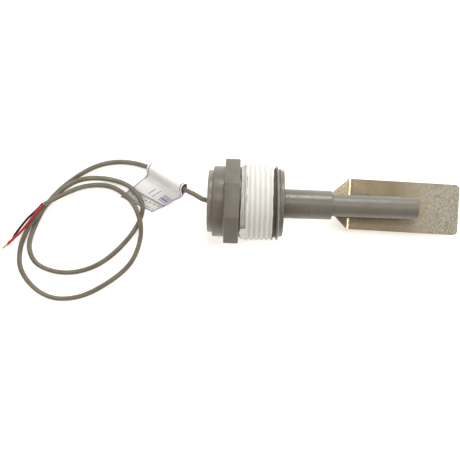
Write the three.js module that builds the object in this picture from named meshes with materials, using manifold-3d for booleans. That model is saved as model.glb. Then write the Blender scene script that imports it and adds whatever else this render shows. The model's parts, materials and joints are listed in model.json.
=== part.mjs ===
// Paddle flow switch on a 1 inch NPT plug, with a flying two-wire cable.
// Millimetres, +Z up. The plug's axis lies along X: the cable leaves towards -X and the paddle points to +X.
// The switch rests on one flat of its octagonal head, and the cable lies on the same surface.
import * as THREE from 'three';
import { mergeVertices } from 'three/addons/utils/BufferGeometryUtils.js';
import Module from 'manifold-3d';

const wasm = await Module();
wasm.setup();

// Sides of the round pieces, and the clearances between pieces that touch.
const PLUG_SIDES = 40;
const STEM_SIDES = 32;
const SMALL_SIDES = 16;
const WIRE_SIDES = 8;
const GAP = 0.3;
const WELD = 1e-4;
const OVERCUT = 2;

// Plug: axial distances are measured from the head's thread-side face, positive towards the paddle.
const HEAD_ACROSS_FLATS = 36.5;
const HEAD_THICKNESS = 6.4;
const HUB_RADIUS = 15.5;
const HUB_LENGTH = 5.1;
const HUB_CHAMFER = 0.4;
const SHOULDER_RADII = [17.2, 15.9];
const SHOULDER_LENGTH = 1.1;
const NECK_RADIUS = 15.2;
const THREAD_START = 1.7;
const THREAD_PITCH = 25.4 / 11.5;
const FIRST_CREST = 3.3;
const CREST_COUNT = 7;
const CREST_FLAT = 0.4;
const CREST_RADIUS_AT_END = 16.25;
const THREAD_DEPTH = 1.6;
const NPT_TAPER_PER_RADIUS = 1 / 32;
const LEAD_IN_RADIUS = 14.67;
const LEAD_IN_START = 17.8;
const LEAD_IN_CHAMFER = 0.4;
const THREAD_END = 19.2;
const CAVITY_RADIUS = 12.2;
const CAVITY_FLOOR = 0.9;
const RECESS_RADII = [8.6, 12.2];
const RECESS_FLOOR = 5.2;

// Stem and reed tube.
const STEM_RADII = [6.45, 6.3];
const STEM_END = 40.5;
const STEM_START = 1.2;
const STEM_WALL_INSIDE = 5.15;
const TUBE_RADIUS = 4.85;
const TUBE_BORE = 3.4;
const TUBE_END = 78.7;
const TUBE_END_WALL = 2;
const TUBE_END_ROUNDING = 1;

// Rear cap and its potting.
const CAP_RADIUS = 13.65;
const CAP_BACK = -13.7;
const CAP_CHAMFER = 0.35;
const CAP_WELL_RADIUS = 8.8;
const SPIGOT_LENGTH = 2.9;
const POTTING_SURFACE = -9.7;
const POTTING_MENISCUS = 0.4;

// Reed switch and the leads inside the stem.
const REED_SIDE = 0.9;
const RETURN_SIDE = -1.9;
const REED_CENTRE = 56.1;
const GLASS_LENGTH = 14;
const GLASS_RADII = [0.9, 1.35];
const BLADE_RADIUS = 0.28;
const BLADE_OFFSET = 0.4;
const BLADE_OVERLAP = 2;
const BLADE_OUTSIDE = 5;
const LEAD_RADIUS = 0.5;
const LEAD_START = -7.2;
const RETURN_STEPS = 60;
const SLEEVE_RADII = [0.8, 1.1];
const SLEEVE_LENGTH = 4.5;

// Paddle: a leaf spring that is clamped in the stem's end and bends down to a wide plate.
const LEAF_THICKNESS = 0.25;
const HINGE_ALONG = 41;
const HINGE_BELOW_AXIS = 5.375;
const PLATE_DROP = 4.6;
const SLOPE = THREE.MathUtils.degToRad(29);
const BEND_RADIUS = 4.5;
const LEAF_LENGTH = 58.2;
const PLATE_WIDTH = 22.9;
const PLATE_CORNER = 2.2;
const ROOT_WIDTH = 8.4;
const FLARE_END = 8;
const PADDLE_OFFSET = 1.45;
const PADDLE_YAW = THREE.MathUtils.degToRad(-1.22);
const TONGUE_LENGTH = 6;
const TONGUE_WIDTH = 4;
const SLOT_HEIGHT = 1;
const CAPSULE_ALONG = 15.1;
const CAPSULE_RADIUS = 5.65;
const CAPSULE_HEIGHT = 3;
const CAPSULE_WALL = 0.8;
const CAPSULE_CHAMFER = 0.5;
const MAGNET_RADII = [1.3, 4.4];
const RIVET_RADIUS = 0.9;
const RIVET_HEAD_RADIUS = 1.8;
const RIVET_HEAD_HEIGHT = 0.6;

// Thread tape.
const TAPE_SPAN = [1.9, 14.5];
const TAPE_CLEARANCE = 0.12;
const TAPE_THICKNESS = 0.18;
const TAPE_TAIL_SIZE = [0.25, 3.4, 3.2];
const TAPE_TAIL_LIFT = 0.5;
const TAPE_TAIL_STANDOFF = 1.75;
const TAPE_TAIL_ALONG = 1.2;
const TAPE_TAIL_ANGLE = THREE.MathUtils.degToRad(32);

// Cable, its two wires and the flag label on it.
const CABLE_RADIUS = 1.15;
const CABLE_STEPS = 78;
const WIRE_RADIUS = 0.55;
const STRAND_RADIUS = 0.3;
const WIRE_STEPS = 12;
const LABEL_START = 21.2;
const LABEL_WIDTH = 21.6;
const LABEL_THICKNESS = 0.2;
const LABEL_STEPS = [26, 5];
const LABEL_CORNERS = { far: [-98.1, 0.9, 0.15], near: [-82.9, -5.8, 0.15] };
const UPPER_SHEET_SHARE = 0.62;
const SHEET_SPACING = 0.35;
const FLAT_FROM_SHARE = 0.6;
const LABEL_VALLEY = 3.4;
const LABEL_LOOP = [[1.6, -1.73], [0, -1.75], [-1.9, -1], [-2.5, 0.5], [-1.4, 1.9], [0.5, 1.9], [1.9, 0.5]];

// Frame: the origin is under the middle of the switch, on the surface that it rests on.
const SWITCH_ENDS = [CAP_BACK, HINGE_ALONG + LEAF_LENGTH];
const FACE_X = -(SWITCH_ENDS[0] + SWITCH_ENDS[1]) / 2;
const AXIS_Z = HEAD_ACROSS_FLATS / 2;

// The cable's centre line, from inside the potting, down to the surface, round two loops and over itself.
const CABLE_ROUTE = [
  [-50.2, 0, 18.25], [-54.5, 0, 18.2], [-58.5, 0.5, 17.2], [-63, 2.8, 14.2], [-68, 5.2, 10],
  [-77, 10.3, 4.5], [-87, 15.5, 2], [-98.5, 17, 1.2], [-109, 14.8, 1.2], [-120.5, 7.8, 1.2],
  [-130, -1.5, 1.2], [-136, -12, 1.2], [-139, -23.5, 1.2], [-136, -30.5, 1.2], [-128, -34.3, 1.2],
  [-117, -34.4, 1.2], [-106, -30, 1.2], [-95, -20, 1.2], [-88.5, -9.5, 1.3], [-87.5, -2, 1.9],
  [-93, 5.3, 2.1], [-103, 8.8, 1.9], [-114, 8.5, 3.1], [-122, 4.8, 3.9], [-134, -7.7, 4],
  [-139, -14, 2.5], [-143, -24, 1.35], [-142.5, -34, 1.2], [-136, -42.5, 1.2], [-126.5, -46.8, 1.2],
  [-114.5, -45.5, 1.2], [-100, -37.3, 1.2], [-91.5, -28.5, 1.35], [-88, -18.5, 1.4], [-88, -10, 3.9],
  [-92.5, -1, 2.6], [-102, 5.3, 1.7], [-113.5, 5.3, 1.7], [-122.5, 1.2, 5.3], [-131.5, -3.8, 6.4],
];
const RED_ROUTE = [
  [-131.9, -4.2, 6.6], [-134.5, -6.9, 6.1], [-137.5, -10.6, 5.1], [-140.4, -14.2, 3.8], [-144, -18, 2.4],
  [-148.7, -22.3, 1.8],
];
const BLACK_ROUTE = [
  [-132.3, -3.5, 5.8], [-135.2, -6.6, 5.1], [-139.5, -10.5, 3.6], [-142.9, -14.4, 2.1], [-145.9, -18.3, 0.8],
  [-147.3, -21.2, 0.6],
];
const RED_STRANDS_ROUTE = [[-148.9, -22.5, 1.8], [-150.2, -23.8, 1.3], [-151.5, -25, 0.6]];
const BLACK_STRANDS_ROUTE = [[-147.5, -21.5, 0.6], [-148.5, -22.6, 0.5], [-149.7, -23.7, 0.4]];

const finish = (color, roughness, metalness) =>
  new THREE.MeshStandardMaterial({ color, roughness, metalness });
const plastic = (color, roughness = 0.55) => finish(color, roughness, 0);
const metal = (color, roughness) => finish(color, roughness, 0.9);

const vectors = (points) => points.map((p) => new THREE.Vector3(...p));
const smoothCurve = (points) => new THREE.CatmullRomCurve3(vectors(points), false, 'centripetal');

// A closed solid from a geometry: corners merged, collapsed faces dropped, every face turned outwards.
function solid(geometry) {
  const bare = new THREE.BufferGeometry();
  bare.setAttribute('position', geometry.getAttribute('position'));
  bare.setIndex(geometry.getIndex());
  const merged = mergeVertices(bare, WELD);
  const position = merged.getAttribute('position');
  const index = merged.getIndex().array;
  const faces = [];
  let volume = 0;
  const [a, b, c] = [new THREE.Vector3(), new THREE.Vector3(), new THREE.Vector3()];
  for (let i = 0; i < index.length; i += 3) {
    const [p, q, r] = [index[i], index[i + 1], index[i + 2]];
    if (p === q || q === r || r === p) continue;
    faces.push([p, q, r]);
    a.fromBufferAttribute(position, p);
    b.fromBufferAttribute(position, q);
    c.fromBufferAttribute(position, r);
    volume += a.dot(b.cross(c));
  }
  const outward = volume < 0 ? faces.map(([p, q, r]) => [p, r, q]) : faces;
  return new wasm.Manifold(new wasm.Mesh({
    numProp: 3,
    vertProperties: new Float32Array(position.array),
    triVerts: new Uint32Array(outward.flat()),
  }));
}

function geometryOf(manifold) {
  const mesh = manifold.getMesh();
  const geometry = new THREE.BufferGeometry();
  geometry.setAttribute('position', new THREE.BufferAttribute(mesh.vertProperties, 3));
  geometry.setIndex(new THREE.BufferAttribute(mesh.triVerts, 1));
  geometry.computeVertexNormals();
  return geometry;
}

function addPiece(group, name, manifold, material) {
  const piece = new THREE.Mesh(geometryOf(manifold), material);
  piece.name = name;
  group.add(piece);
  return piece;
}

// A turned solid about the Y axis, from [radius, height] points.
function turned(profile, sides) {
  return solid(new THREE.LatheGeometry(profile.map(([r, y]) => new THREE.Vector2(r, y)), sides));
}

const rod = (radius, from, to, sides) => turned([[0, from], [radius, from], [radius, to], [0, to]], sides);

function ring([inner, outer], from, to, sides) {
  return turned([[inner, from], [outer, from], [outer, to], [inner, to], [inner, from]], sides);
}

function tubeAlong(curve, radius, steps, sides) {
  const section = new THREE.Shape();
  for (let i = 0; i < sides; i += 1) {
    const turn = (i / sides) * 2 * Math.PI;
    const point = [radius * Math.cos(turn), radius * Math.sin(turn)];
    if (i === 0) section.moveTo(...point);
    else section.lineTo(...point);
  }
  return solid(new THREE.ExtrudeGeometry(section, { steps, bevelEnabled: false, extrudePath: curve }));
}

const crestRadius = (along) => CREST_RADIUS_AT_END + (THREAD_END - along) * NPT_TAPER_PER_RADIUS;

// Hub, neck, thread and lead-in as one turned outline, the octagonal head joined to it, and the bores cut.
function plugBody() {
  const hubBack = -HEAD_THICKNESS - HUB_LENGTH;
  const outline = [
    [0, hubBack], [HUB_RADIUS - HUB_CHAMFER, hubBack], [HUB_RADIUS, hubBack + HUB_CHAMFER],
    [HUB_RADIUS, -HEAD_THICKNESS / 2], [SHOULDER_RADII[0], -HEAD_THICKNESS / 2], [SHOULDER_RADII[0], 0],
    [SHOULDER_RADII[1], SHOULDER_LENGTH], [NECK_RADIUS, SHOULDER_LENGTH], [NECK_RADIUS, THREAD_START],
  ];
  for (let i = 0; i < CREST_COUNT; i += 1) {
    const crest = FIRST_CREST + i * THREAD_PITCH;
    const root = crest - THREAD_PITCH / 2;
    outline.push([crestRadius(root) - THREAD_DEPTH, root]);
    outline.push([crestRadius(crest), crest - CREST_FLAT / 2]);
    outline.push([crestRadius(crest), crest + CREST_FLAT / 2]);
  }
  outline.push(
    [LEAD_IN_RADIUS, LEAD_IN_START], [LEAD_IN_RADIUS, THREAD_END - LEAD_IN_CHAMFER],
    [LEAD_IN_RADIUS - LEAD_IN_CHAMFER, THREAD_END], [0, THREAD_END],
  );
  const headRadius = HEAD_ACROSS_FLATS / 2 / Math.cos(Math.PI / 8);
  const head = new THREE.CylinderGeometry(headRadius, headRadius, HEAD_THICKNESS, 8);
  head.rotateY(Math.PI / 8);
  head.translate(0, -HEAD_THICKNESS / 2, 0);
  return turned(outline, PLUG_SIDES)
    .add(solid(head))
    .subtract(rod(CAVITY_RADIUS, hubBack - OVERCUT, CAVITY_FLOOR, PLUG_SIDES))
    .subtract(ring(RECESS_RADII, RECESS_FLOOR, THREAD_END + OVERCUT, PLUG_SIDES))
    .subtract(rod(STEM_RADII[0] + GAP, CAVITY_FLOOR - OVERCUT, THREAD_END + OVERCUT, STEM_SIDES));
}

// The stem is a sleeve over the reed tube, with a slot in its end for the leaf's tongue.
function stemSleeve() {
  const sleeve = turned([
    [STEM_WALL_INSIDE, STEM_START], [STEM_RADII[0], STEM_START], [STEM_RADII[0], THREAD_END],
    [STEM_RADII[1], STEM_END], [STEM_WALL_INSIDE, STEM_END], [STEM_WALL_INSIDE, STEM_START],
  ], STEM_SIDES);
  const slotLength = TONGUE_LENGTH + GAP;
  const slot = new THREE.BoxGeometry(TONGUE_WIDTH + 2 * GAP, slotLength + OVERCUT, SLOT_HEIGHT);
  slot.translate(0, STEM_END + (OVERCUT - slotLength) / 2, -HINGE_BELOW_AXIS + SLOT_HEIGHT / 2 - GAP);
  return sleeve.subtract(solid(slot));
}

function reedTube() {
  const shoulder = TUBE_END - TUBE_END_ROUNDING;
  const inner = TUBE_RADIUS - TUBE_END_ROUNDING;
  const halfway = Math.SQRT1_2 * TUBE_END_ROUNDING;
  return turned([
    [TUBE_BORE, STEM_START], [TUBE_RADIUS, STEM_START], [TUBE_RADIUS, shoulder],
    [inner + halfway, shoulder + halfway], [inner, TUBE_END], [0, TUBE_END],
    [0, TUBE_END - TUBE_END_WALL], [TUBE_BORE, TUBE_END - TUBE_END_WALL], [TUBE_BORE, STEM_START],
  ], STEM_SIDES);
}

function rearCap() {
  const lipFront = -HEAD_THICKNESS - HUB_LENGTH - GAP;
  const spigot = CAVITY_RADIUS - GAP;
  return turned([
    [CAP_WELL_RADIUS, CAP_BACK], [CAP_RADIUS - CAP_CHAMFER, CAP_BACK], [CAP_RADIUS, CAP_BACK + CAP_CHAMFER],
    [CAP_RADIUS, lipFront], [spigot, lipFront], [spigot, lipFront + SPIGOT_LENGTH],
    [CAP_WELL_RADIUS, lipFront + SPIGOT_LENGTH], [CAP_WELL_RADIUS, CAP_BACK],
  ], PLUG_SIDES);
}

// Epoxy that fills the cavity behind the stem, with a channel for the cable and one for each lead.
function pottingFill() {
  const well = CAP_WELL_RADIUS - GAP;
  const wide = CAVITY_RADIUS - GAP;
  const step = -HEAD_THICKNESS - HUB_LENGTH + SPIGOT_LENGTH;
  const front = CAVITY_FLOOR - GAP;
  const cableEnd = CABLE_ROUTE[0][0] - FACE_X;
  const fill = turned([
    [0, POTTING_SURFACE], [well - 1, POTTING_SURFACE], [well, POTTING_SURFACE - POTTING_MENISCUS],
    [well, step], [wide, step], [wide, front], [0, front],
  ], PLUG_SIDES);
  const channel = (side, rise) => rod(LEAD_RADIUS + GAP, cableEnd - GAP, front + OVERCUT, SMALL_SIDES)
    .translate([side, 0, rise]);
  return fill
    .subtract(rod(CABLE_RADIUS + GAP, POTTING_SURFACE - OVERCUT, cableEnd + GAP, SMALL_SIDES))
    .subtract(channel(REED_SIDE, BLADE_OFFSET))
    .subtract(channel(RETURN_SIDE, 0));
}

// Reed switch: a glass envelope open round its two blades, which overlap at its middle.
function addReedSwitch(group) {
  const glassEnd = GLASS_LENGTH / 2;
  const sleeveStart = glassEnd + BLADE_OUTSIDE - SLEEVE_LENGTH / 2;
  const leadEnd = REED_CENTRE - glassEnd - BLADE_OUTSIDE - GAP;
  const bladeTip = BLADE_OVERLAP / 2;
  const glass = ring(GLASS_RADII, REED_CENTRE - glassEnd, REED_CENTRE + glassEnd, SMALL_SIDES);
  addPiece(group, 'reed_glass', glass.translate([REED_SIDE, 0, 0]), plastic(0xbfd8c4, 0.1));
  addPiece(group, 'reed_blade_rear', rod(
    BLADE_RADIUS, REED_CENTRE - glassEnd - BLADE_OUTSIDE, REED_CENTRE + bladeTip, WIRE_SIDES,
  ).translate([REED_SIDE, 0, BLADE_OFFSET]), metal(0xc9c6bd, 0.3));
  addPiece(group, 'reed_blade_front', rod(
    BLADE_RADIUS, REED_CENTRE - bladeTip, REED_CENTRE + glassEnd + BLADE_OUTSIDE, WIRE_SIDES,
  ).translate([REED_SIDE, 0, -BLADE_OFFSET]), metal(0xc9c6bd, 0.3));
  addPiece(group, 'solder_sleeve_rear', ring(
    SLEEVE_RADII, REED_CENTRE - sleeveStart - SLEEVE_LENGTH, REED_CENTRE - sleeveStart, SMALL_SIDES,
  ).translate([REED_SIDE, 0, BLADE_OFFSET]), plastic(0x2b2b2d, 0.7));
  addPiece(group, 'solder_sleeve_front', ring(
    SLEEVE_RADII, REED_CENTRE + sleeveStart, REED_CENTRE + sleeveStart + SLEEVE_LENGTH, SMALL_SIDES,
  ).translate([REED_SIDE, 0, -BLADE_OFFSET]), plastic(0x2b2b2d, 0.7));
  addPiece(group, 'inner_lead_red', rod(LEAD_RADIUS, LEAD_START, leadEnd, WIRE_SIDES)
    .translate([REED_SIDE, 0, BLADE_OFFSET]), plastic(0xb8232b, 0.5));

  // The return lead runs past the reed and turns back into the front sleeve.
  const joint = REED_CENTRE + glassEnd + BLADE_OUTSIDE + GAP;
  const turnStart = joint + SLEEVE_LENGTH / 2;
  const turnRadius = (REED_SIDE - RETURN_SIDE) / 2;
  const path = new THREE.CurvePath();
  const rise = (side) => (side === REED_SIDE ? -BLADE_OFFSET : 0);
  const at = (side, along) => new THREE.Vector3(side, along, rise(side));
  path.add(new THREE.LineCurve3(at(RETURN_SIDE, LEAD_START), at(RETURN_SIDE, turnStart)));
  path.add(new THREE.CubicBezierCurve3(
    at(RETURN_SIDE, turnStart), at(RETURN_SIDE, turnStart + turnRadius * 4 / 3),
    at(REED_SIDE, turnStart + turnRadius * 4 / 3), at(REED_SIDE, turnStart),
  ));
  path.add(new THREE.LineCurve3(at(REED_SIDE, turnStart), at(REED_SIDE, joint)));
  const returnLead = tubeAlong(path, LEAD_RADIUS, RETURN_STEPS, WIRE_SIDES);
  addPiece(group, 'inner_lead_black', returnLead, plastic(0x1d1b1b, 0.5));
}

// Tape wound over the crests, and its loose tail standing off beside the head.
function addThreadTape(group) {
  const inside = (along) => crestRadius(along) + TAPE_CLEARANCE;
  const outside = (along) => inside(along) + TAPE_THICKNESS;
  const [from, to] = TAPE_SPAN;
  const tape = turned([
    [inside(from), from], [outside(from), from], [outside(to), to], [inside(to), to], [inside(from), from],
  ], PLUG_SIDES);
  addPiece(group, 'thread_tape', tape, plastic(0xf2efe8, 0.6));

  const tail = new THREE.BoxGeometry(...TAPE_TAIL_SIZE);
  tail.rotateZ(TAPE_TAIL_LIFT);
  tail.translate(outside(from) + TAPE_TAIL_STANDOFF, TAPE_TAIL_ALONG, 0);
  tail.rotateY(-TAPE_TAIL_ANGLE);
  addPiece(group, 'tape_tail', solid(tail), plastic(0xf2efe8, 0.6));
}

// The leaf's centre line in its own frame: x along the leaf from the hinge, y up.
function leafLine() {
  const slopeRun = (PLATE_DROP - BEND_RADIUS * (1 - Math.cos(SLOPE))) / Math.tan(SLOPE);
  const bendEnd = slopeRun + BEND_RADIUS * Math.sin(SLOPE);
  const bendSteps = 5;
  const start = GAP / 2;
  const line = [{ x: start, y: -start * Math.tan(SLOPE), turn: -SLOPE }];
  for (let i = 0; i <= bendSteps; i += 1) {
    const turn = -SLOPE * (1 - i / bendSteps);
    line.push({
      x: bendEnd + BEND_RADIUS * Math.sin(turn),
      y: -PLATE_DROP + BEND_RADIUS * (1 - Math.cos(turn)),
      turn,
    });
  }
  line.push({ x: LEAF_LENGTH, y: -PLATE_DROP, turn: 0 });
  return line;
}

// Leaf: the bent sheet's side view, cut to its outline seen from above.
function paddleLeaf() {
  const line = leafLine();
  const side = (offset) => line.map(({ x, y, turn }) => (
    new THREE.Vector2(x - offset * Math.sin(turn), y + offset * Math.cos(turn))
  ));
  const sheetShape = new THREE.Shape([...side(LEAF_THICKNESS / 2), ...side(-LEAF_THICKNESS / 2).reverse()]);
  const sheet = new THREE.ExtrudeGeometry(sheetShape, { depth: PLATE_WIDTH * 2, bevelEnabled: false });
  sheet.translate(0, 0, -PLATE_WIDTH);
  sheet.rotateX(Math.PI / 2);

  const half = PLATE_WIDTH / 2;
  const corner = LEAF_LENGTH - PLATE_CORNER;
  const outline = new THREE.Shape();
  outline.moveTo(-OVERCUT, -ROOT_WIDTH / 2 + OVERCUT);
  outline.lineTo(0, -ROOT_WIDTH / 2);
  outline.lineTo(FLARE_END, -half);
  outline.lineTo(corner, -half);
  outline.absarc(corner, -half + PLATE_CORNER, PLATE_CORNER, -Math.PI / 2, 0);
  outline.absarc(corner, half - PLATE_CORNER, PLATE_CORNER, 0, Math.PI / 2);
  outline.lineTo(FLARE_END, half);
  outline.lineTo(0, ROOT_WIDTH / 2);
  outline.lineTo(-OVERCUT, ROOT_WIDTH / 2 - OVERCUT);
  const depth = 4 * PLATE_DROP;
  const blank = new THREE.ExtrudeGeometry(outline, { depth, bevelEnabled: false, curveSegments: 5 });
  blank.translate(0, 0, -depth / 2);
  const hole = rod(RIVET_RADIUS + GAP, -OVERCUT, OVERCUT, SMALL_SIDES)
    .rotate([90, 0, 0])
    .translate([CAPSULE_ALONG, 0, -PLATE_DROP]);
  return solid(sheet).intersect(solid(blank)).subtract(hole);
}

// Magnet capsule: a plastic cup over a ring magnet, riveted through the plate.
function addPaddle(group) {
  addPiece(group, 'paddle_leaf', paddleLeaf(), metal(0xa79c86, 0.45));
  const plateTop = -PLATE_DROP + LEAF_THICKNESS / 2;
  const cupFoot = plateTop + GAP;
  const cupTop = plateTop + CAPSULE_HEIGHT;
  const cupInside = cupTop - CAPSULE_WALL;
  const stand = (manifold) => manifold.rotate([90, 0, 0]).translate([CAPSULE_ALONG, 0, 0]);
  const cup = turned([
    [CAPSULE_RADIUS - CAPSULE_WALL, cupFoot], [CAPSULE_RADIUS, cupFoot],
    [CAPSULE_RADIUS, cupTop - CAPSULE_CHAMFER], [CAPSULE_RADIUS - CAPSULE_CHAMFER, cupTop], [0, cupTop],
    [0, cupInside], [CAPSULE_RADIUS - CAPSULE_WALL, cupInside],
    [CAPSULE_RADIUS - CAPSULE_WALL, cupFoot],
  ], STEM_SIDES);
  addPiece(group, 'magnet_capsule', stand(cup), plastic(0x8a8980));
  const magnet = ring(MAGNET_RADII, cupFoot, cupInside - GAP, STEM_SIDES);
  addPiece(group, 'paddle_magnet', stand(magnet), metal(0x55555a, 0.4));
  const headTop = -PLATE_DROP - LEAF_THICKNESS / 2 - GAP;
  const rivet = turned([
    [0, headTop - RIVET_HEAD_HEIGHT], [RIVET_HEAD_RADIUS * 0.8, headTop - RIVET_HEAD_HEIGHT],
    [RIVET_HEAD_RADIUS, headTop - RIVET_HEAD_HEIGHT / 2], [RIVET_HEAD_RADIUS, headTop],
    [RIVET_RADIUS, headTop], [RIVET_RADIUS, cupInside - GAP], [0, cupInside - GAP],
  ], SMALL_SIDES);
  addPiece(group, 'magnet_rivet', stand(rivet), metal(0xb5b1a6, 0.35));
}

// One cross-section of the flag label: in along the surface, round the cable and back over itself.
// The loop is square to the cable, and the flag runs from it towards its own end.
function labelStrip(centre, cableWay, end) {
  const across = new THREE.Vector3(cableWay.y, -cableWay.x, 0).normalize();
  if (across.dot(end.clone().sub(centre)) < 0) across.negate();
  const up = across.clone().cross(cableWay);
  if (up.z < 0) up.negate();
  const at = (out, rise) => centre.clone().addScaledVector(across, out).addScaledVector(up, rise);
  const valley = at(LABEL_VALLEY, LABEL_LOOP[1][1]);
  const lower = (share) => {
    const fall = THREE.MathUtils.smoothstep(share, 0, FLAT_FROM_SHARE);
    return valley.clone().lerp(end, share).setZ(THREE.MathUtils.lerp(valley.z, end.z, fall));
  };
  const upper = (share) => lower(share).add(new THREE.Vector3(0, 0, SHEET_SPACING));
  return new THREE.CatmullRomCurve3([
    lower(1), lower(0.75), lower(0.5), lower(0.25), lower(0),
    ...LABEL_LOOP.map(([out, rise]) => at(out, rise)),
    upper(0), upper(UPPER_SHEET_SHARE / 2), upper(UPPER_SHEET_SHARE),
  ], false, 'centripetal');
}

// Flag label: the faces of a thin box laid along a row of those cross-sections.
function cableLabel(cable) {
  const length = cable.getLength();
  const [aroundSteps, alongSteps] = LABEL_STEPS;
  const far = new THREE.Vector3(...LABEL_CORNERS.far);
  const near = new THREE.Vector3(...LABEL_CORNERS.near);
  const strips = Array.from({ length: alongSteps + 1 }, (_, i) => {
    const share = i / alongSteps;
    const at = (LABEL_START + share * LABEL_WIDTH) / length;
    return labelStrip(cable.getPointAt(at), cable.getTangentAt(at), near.clone().lerp(far, share));
  });
  const cableWay = cable.getTangentAt((LABEL_START + LABEL_WIDTH / 2) / length);
  const film = new THREE.BoxGeometry(1, 1, 1, aroundSteps, alongSteps, 1);
  const position = film.getAttribute('position');
  for (let i = 0; i < position.count; i += 1) {
    const curve = strips[Math.round((position.getY(i) + 0.5) * alongSteps)];
    const around = position.getX(i) + 0.5;
    const normal = curve.getTangentAt(around).cross(cableWay).normalize();
    const point = curve.getPointAt(around).addScaledVector(normal, position.getZ(i) * LABEL_THICKNESS);
    position.setXYZ(i, point.x, point.y, point.z);
  }
  return solid(film);
}

function addCord(group) {
  const cable = smoothCurve(CABLE_ROUTE);
  const jacket = tubeAlong(cable, CABLE_RADIUS, CABLE_STEPS, WIRE_SIDES);
  addPiece(group, 'cable_jacket', jacket, plastic(0x6f675c, 0.6));
  addPiece(group, 'cable_label', cableLabel(cable), plastic(0xf1efea, 0.4));
  const wire = (name, route, radius, steps, material) => {
    addPiece(group, name, tubeAlong(smoothCurve(route), radius, steps, WIRE_SIDES), material);
  };
  wire('red_wire', RED_ROUTE, WIRE_RADIUS, WIRE_STEPS, plastic(0xc5202e, 0.45));
  wire('black_wire', BLACK_ROUTE, WIRE_RADIUS, WIRE_STEPS, plastic(0x191718, 0.45));
  wire('red_wire_strands', RED_STRANDS_ROUTE, STRAND_RADIUS, WIRE_STEPS / 2, metal(0xb87850, 0.35));
  wire('black_wire_strands', BLACK_STRANDS_ROUTE, STRAND_RADIUS, WIRE_STEPS / 2, metal(0xb87850, 0.35));
}

// Everything that is turned about the plug's axis is built about Y and laid along X by this group.
const axial = new THREE.Group();
axial.rotation.z = -Math.PI / 2;
addPiece(axial, 'plug_body', plugBody(), plastic(0x8b877c));
addPiece(axial, 'rear_cap', rearCap(), plastic(0x85817a));
addPiece(axial, 'potting_fill', pottingFill(), plastic(0x3a3835, 0.35));
addPiece(axial, 'stem_sleeve', stemSleeve(), plastic(0x8b877c));
addPiece(axial, 'reed_tube', reedTube(), plastic(0x8f8d85));
addReedSwitch(axial);
addThreadTape(axial);

const tongue = new THREE.BoxGeometry(TONGUE_LENGTH, TONGUE_WIDTH, LEAF_THICKNESS);
tongue.translate(HINGE_ALONG - GAP / 2 - TONGUE_LENGTH / 2, 0, -HINGE_BELOW_AXIS);

const onAxis = new THREE.Group();
onAxis.position.set(FACE_X, 0, AXIS_Z);
onAxis.add(axial);
addPiece(onAxis, 'leaf_tongue', solid(tongue), metal(0xa79c86, 0.45));

const paddle = new THREE.Group();
paddle.position.set(HINGE_ALONG, PADDLE_OFFSET, -HINGE_BELOW_AXIS);
paddle.rotation.z = PADDLE_YAW;
addPaddle(paddle);
onAxis.add(paddle);

const flowSwitch = new THREE.Group();
flowSwitch.add(onAxis);
addCord(flowSwitch);

export default flowSwitch;
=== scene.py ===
import json
import math

import bmesh
import bpy
import numpy as np
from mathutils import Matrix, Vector


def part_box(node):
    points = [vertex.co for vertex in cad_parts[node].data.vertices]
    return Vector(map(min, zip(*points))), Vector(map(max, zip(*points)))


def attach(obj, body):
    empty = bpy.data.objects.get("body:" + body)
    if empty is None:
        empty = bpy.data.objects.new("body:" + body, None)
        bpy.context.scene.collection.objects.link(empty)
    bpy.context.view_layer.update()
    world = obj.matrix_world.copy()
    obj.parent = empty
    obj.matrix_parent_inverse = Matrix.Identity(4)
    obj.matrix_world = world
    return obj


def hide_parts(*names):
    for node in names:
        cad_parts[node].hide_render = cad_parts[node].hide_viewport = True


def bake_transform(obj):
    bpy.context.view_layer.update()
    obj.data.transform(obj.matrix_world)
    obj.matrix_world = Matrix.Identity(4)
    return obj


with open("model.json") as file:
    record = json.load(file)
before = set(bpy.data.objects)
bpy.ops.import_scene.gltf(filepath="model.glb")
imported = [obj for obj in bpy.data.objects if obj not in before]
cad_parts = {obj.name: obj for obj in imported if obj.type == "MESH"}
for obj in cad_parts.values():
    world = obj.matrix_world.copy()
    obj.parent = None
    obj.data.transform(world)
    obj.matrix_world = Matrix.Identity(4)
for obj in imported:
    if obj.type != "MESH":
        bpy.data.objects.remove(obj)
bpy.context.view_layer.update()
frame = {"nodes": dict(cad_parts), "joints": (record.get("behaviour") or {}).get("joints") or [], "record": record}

# All shapes are worked out in millimetres in the shared frame, and scaled to metres as a mesh is made.
MM = 0.001


def corner_mm(node):
    low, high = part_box(node)
    return np.array(low) / MM, np.array(high) / MM


MOUNTS = {mount["name"]: np.array(mount["pos_m"]) / MM for mount in frame["record"]["mounts"]}
PLUG_LOW, PLUG_HIGH = corner_mm("plug_body")
CAP_LOW, CAP_HIGH = corner_mm("rear_cap")
STEM_LOW, STEM_HIGH = corner_mm("stem_sleeve")
_, TUBE_HIGH = corner_mm("reed_tube")
POTTING_LOW, _ = corner_mm("potting_fill")
CAPSULE_LOW, CAPSULE_HIGH = corner_mm("magnet_capsule")
RIVET_LOW, RIVET_HIGH = corner_mm("magnet_rivet")
_, LEAF_HIGH = corner_mm("paddle_leaf")
HINGE = np.array(frame["joints"][0]["pos_m"]) / MM

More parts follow.
